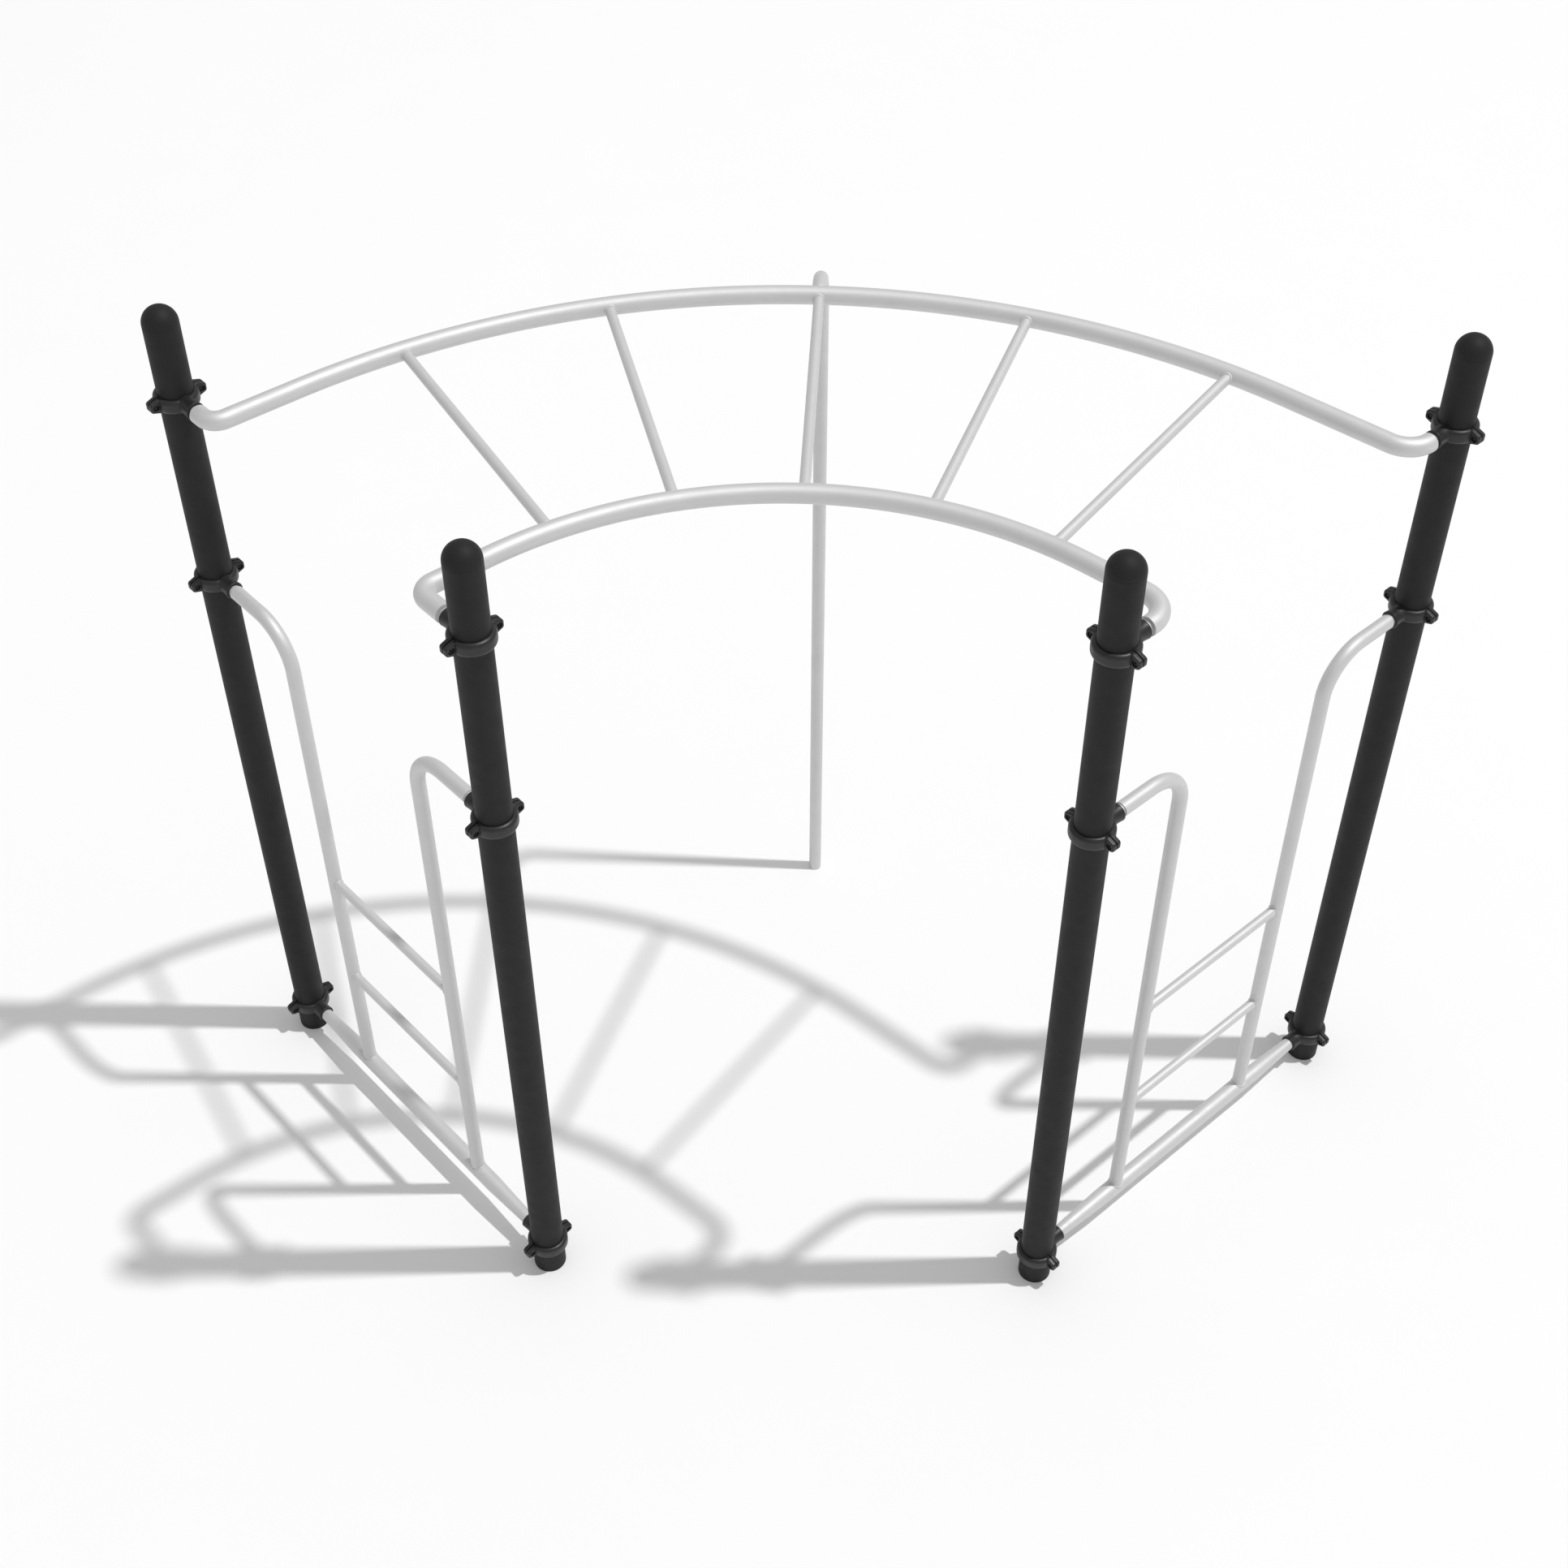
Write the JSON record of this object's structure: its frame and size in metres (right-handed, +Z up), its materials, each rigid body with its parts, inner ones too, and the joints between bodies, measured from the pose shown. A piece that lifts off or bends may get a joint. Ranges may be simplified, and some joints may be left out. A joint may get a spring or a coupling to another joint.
{
  "type": "curved monkey bars",
  "caption": "Curved overhead horizontal ladder on round posts, with a climbing ladder held by split clamps at each end and a prop leg.",
  "frame": {"origin": "On the ground under the middle of the whole object's box, so every post and the centre leg end at z = 0.", "axes": "+Z up. +X from the left end frame to the right end frame, as seen from the inside of the curve. +Y from the inside of the curve to the outside, where the centre leg stands. X = 0 is midway between the two end frames."},
  "size_m": [3.1854, 1.6622, 2.58],
  "materials": {
    "post_coat": "matte charcoal powder coat",
    "clamp_coat": "satin black powder coat on castings",
    "ladder_coat": "satin light silver powder coat",
    "fastener": "black oxide"
  },
  "bodies": {
    "root": {"post_left_inner": "post_coat", "post_left_outer": "post_coat", "post_right_inner": "post_coat", "post_right_outer": "post_coat", "post_cap_left_inner": "post_coat", "post_cap_left_outer": "post_coat", "post_cap_right_inner": "post_coat", "post_cap_right_outer": "post_coat", "clamp_socket_half_left_inner_low": "clamp_coat", "clamp_socket_half_left_inner_mid": "clamp_coat", "clamp_socket_half_left_inner_top": "clamp_coat", "clamp_socket_half_left_outer_low": "clamp_coat", "clamp_socket_half_left_outer_mid": "clamp_coat", "clamp_socket_half_left_outer_top": "clamp_coat", "clamp_socket_half_right_inner_low": "clamp_coat", "clamp_socket_half_right_inner_mid": "clamp_coat", "clamp_socket_half_right_inner_top": "clamp_coat", "clamp_socket_half_right_outer_low": "clamp_coat", "clamp_socket_half_right_outer_mid": "clamp_coat", "clamp_socket_half_right_outer_top": "clamp_coat", "clamp_back_half_left_inner_low": "clamp_coat", "clamp_back_half_left_inner_mid": "clamp_coat", "clamp_back_half_left_inner_top": "clamp_coat", "clamp_back_half_left_outer_low": "clamp_coat", "clamp_back_half_left_outer_mid": "clamp_coat", "clamp_back_half_left_outer_top": "clamp_coat", "clamp_back_half_right_inner_low": "clamp_coat", "clamp_back_half_right_inner_mid": "clamp_coat", "clamp_back_half_right_inner_top": "clamp_coat", "clamp_back_half_right_outer_low": "clamp_coat", "clamp_back_half_right_outer_mid": "clamp_coat", "clamp_back_half_right_outer_top": "clamp_coat", "overhead_rail_outer": "ladder_coat", "overhead_rail_inner": "ladder_coat", "overhead_rung_1": "ladder_coat", "overhead_rung_2": "ladder_coat", "overhead_rung_3": "ladder_coat", "overhead_rung_4": "ladder_coat", "overhead_rung_5": "ladder_coat", "centre_leg": "ladder_coat", "ladder_bottom_rail_left": "ladder_coat", "ladder_bottom_rail_right": "ladder_coat", "ladder_stile_left_inner": "ladder_coat", "ladder_stile_left_outer": "ladder_coat", "ladder_stile_right_inner": "ladder_coat", "ladder_stile_right_outer": "ladder_coat", "ladder_rung_lower_left": "ladder_coat", "ladder_rung_lower_right": "ladder_coat", "ladder_rung_upper_left": "ladder_coat", "ladder_rung_upper_right": "ladder_coat", "clamp_bolts": "fastener", "clamp_nuts": "fastener"}
  },
  "joints": []
}
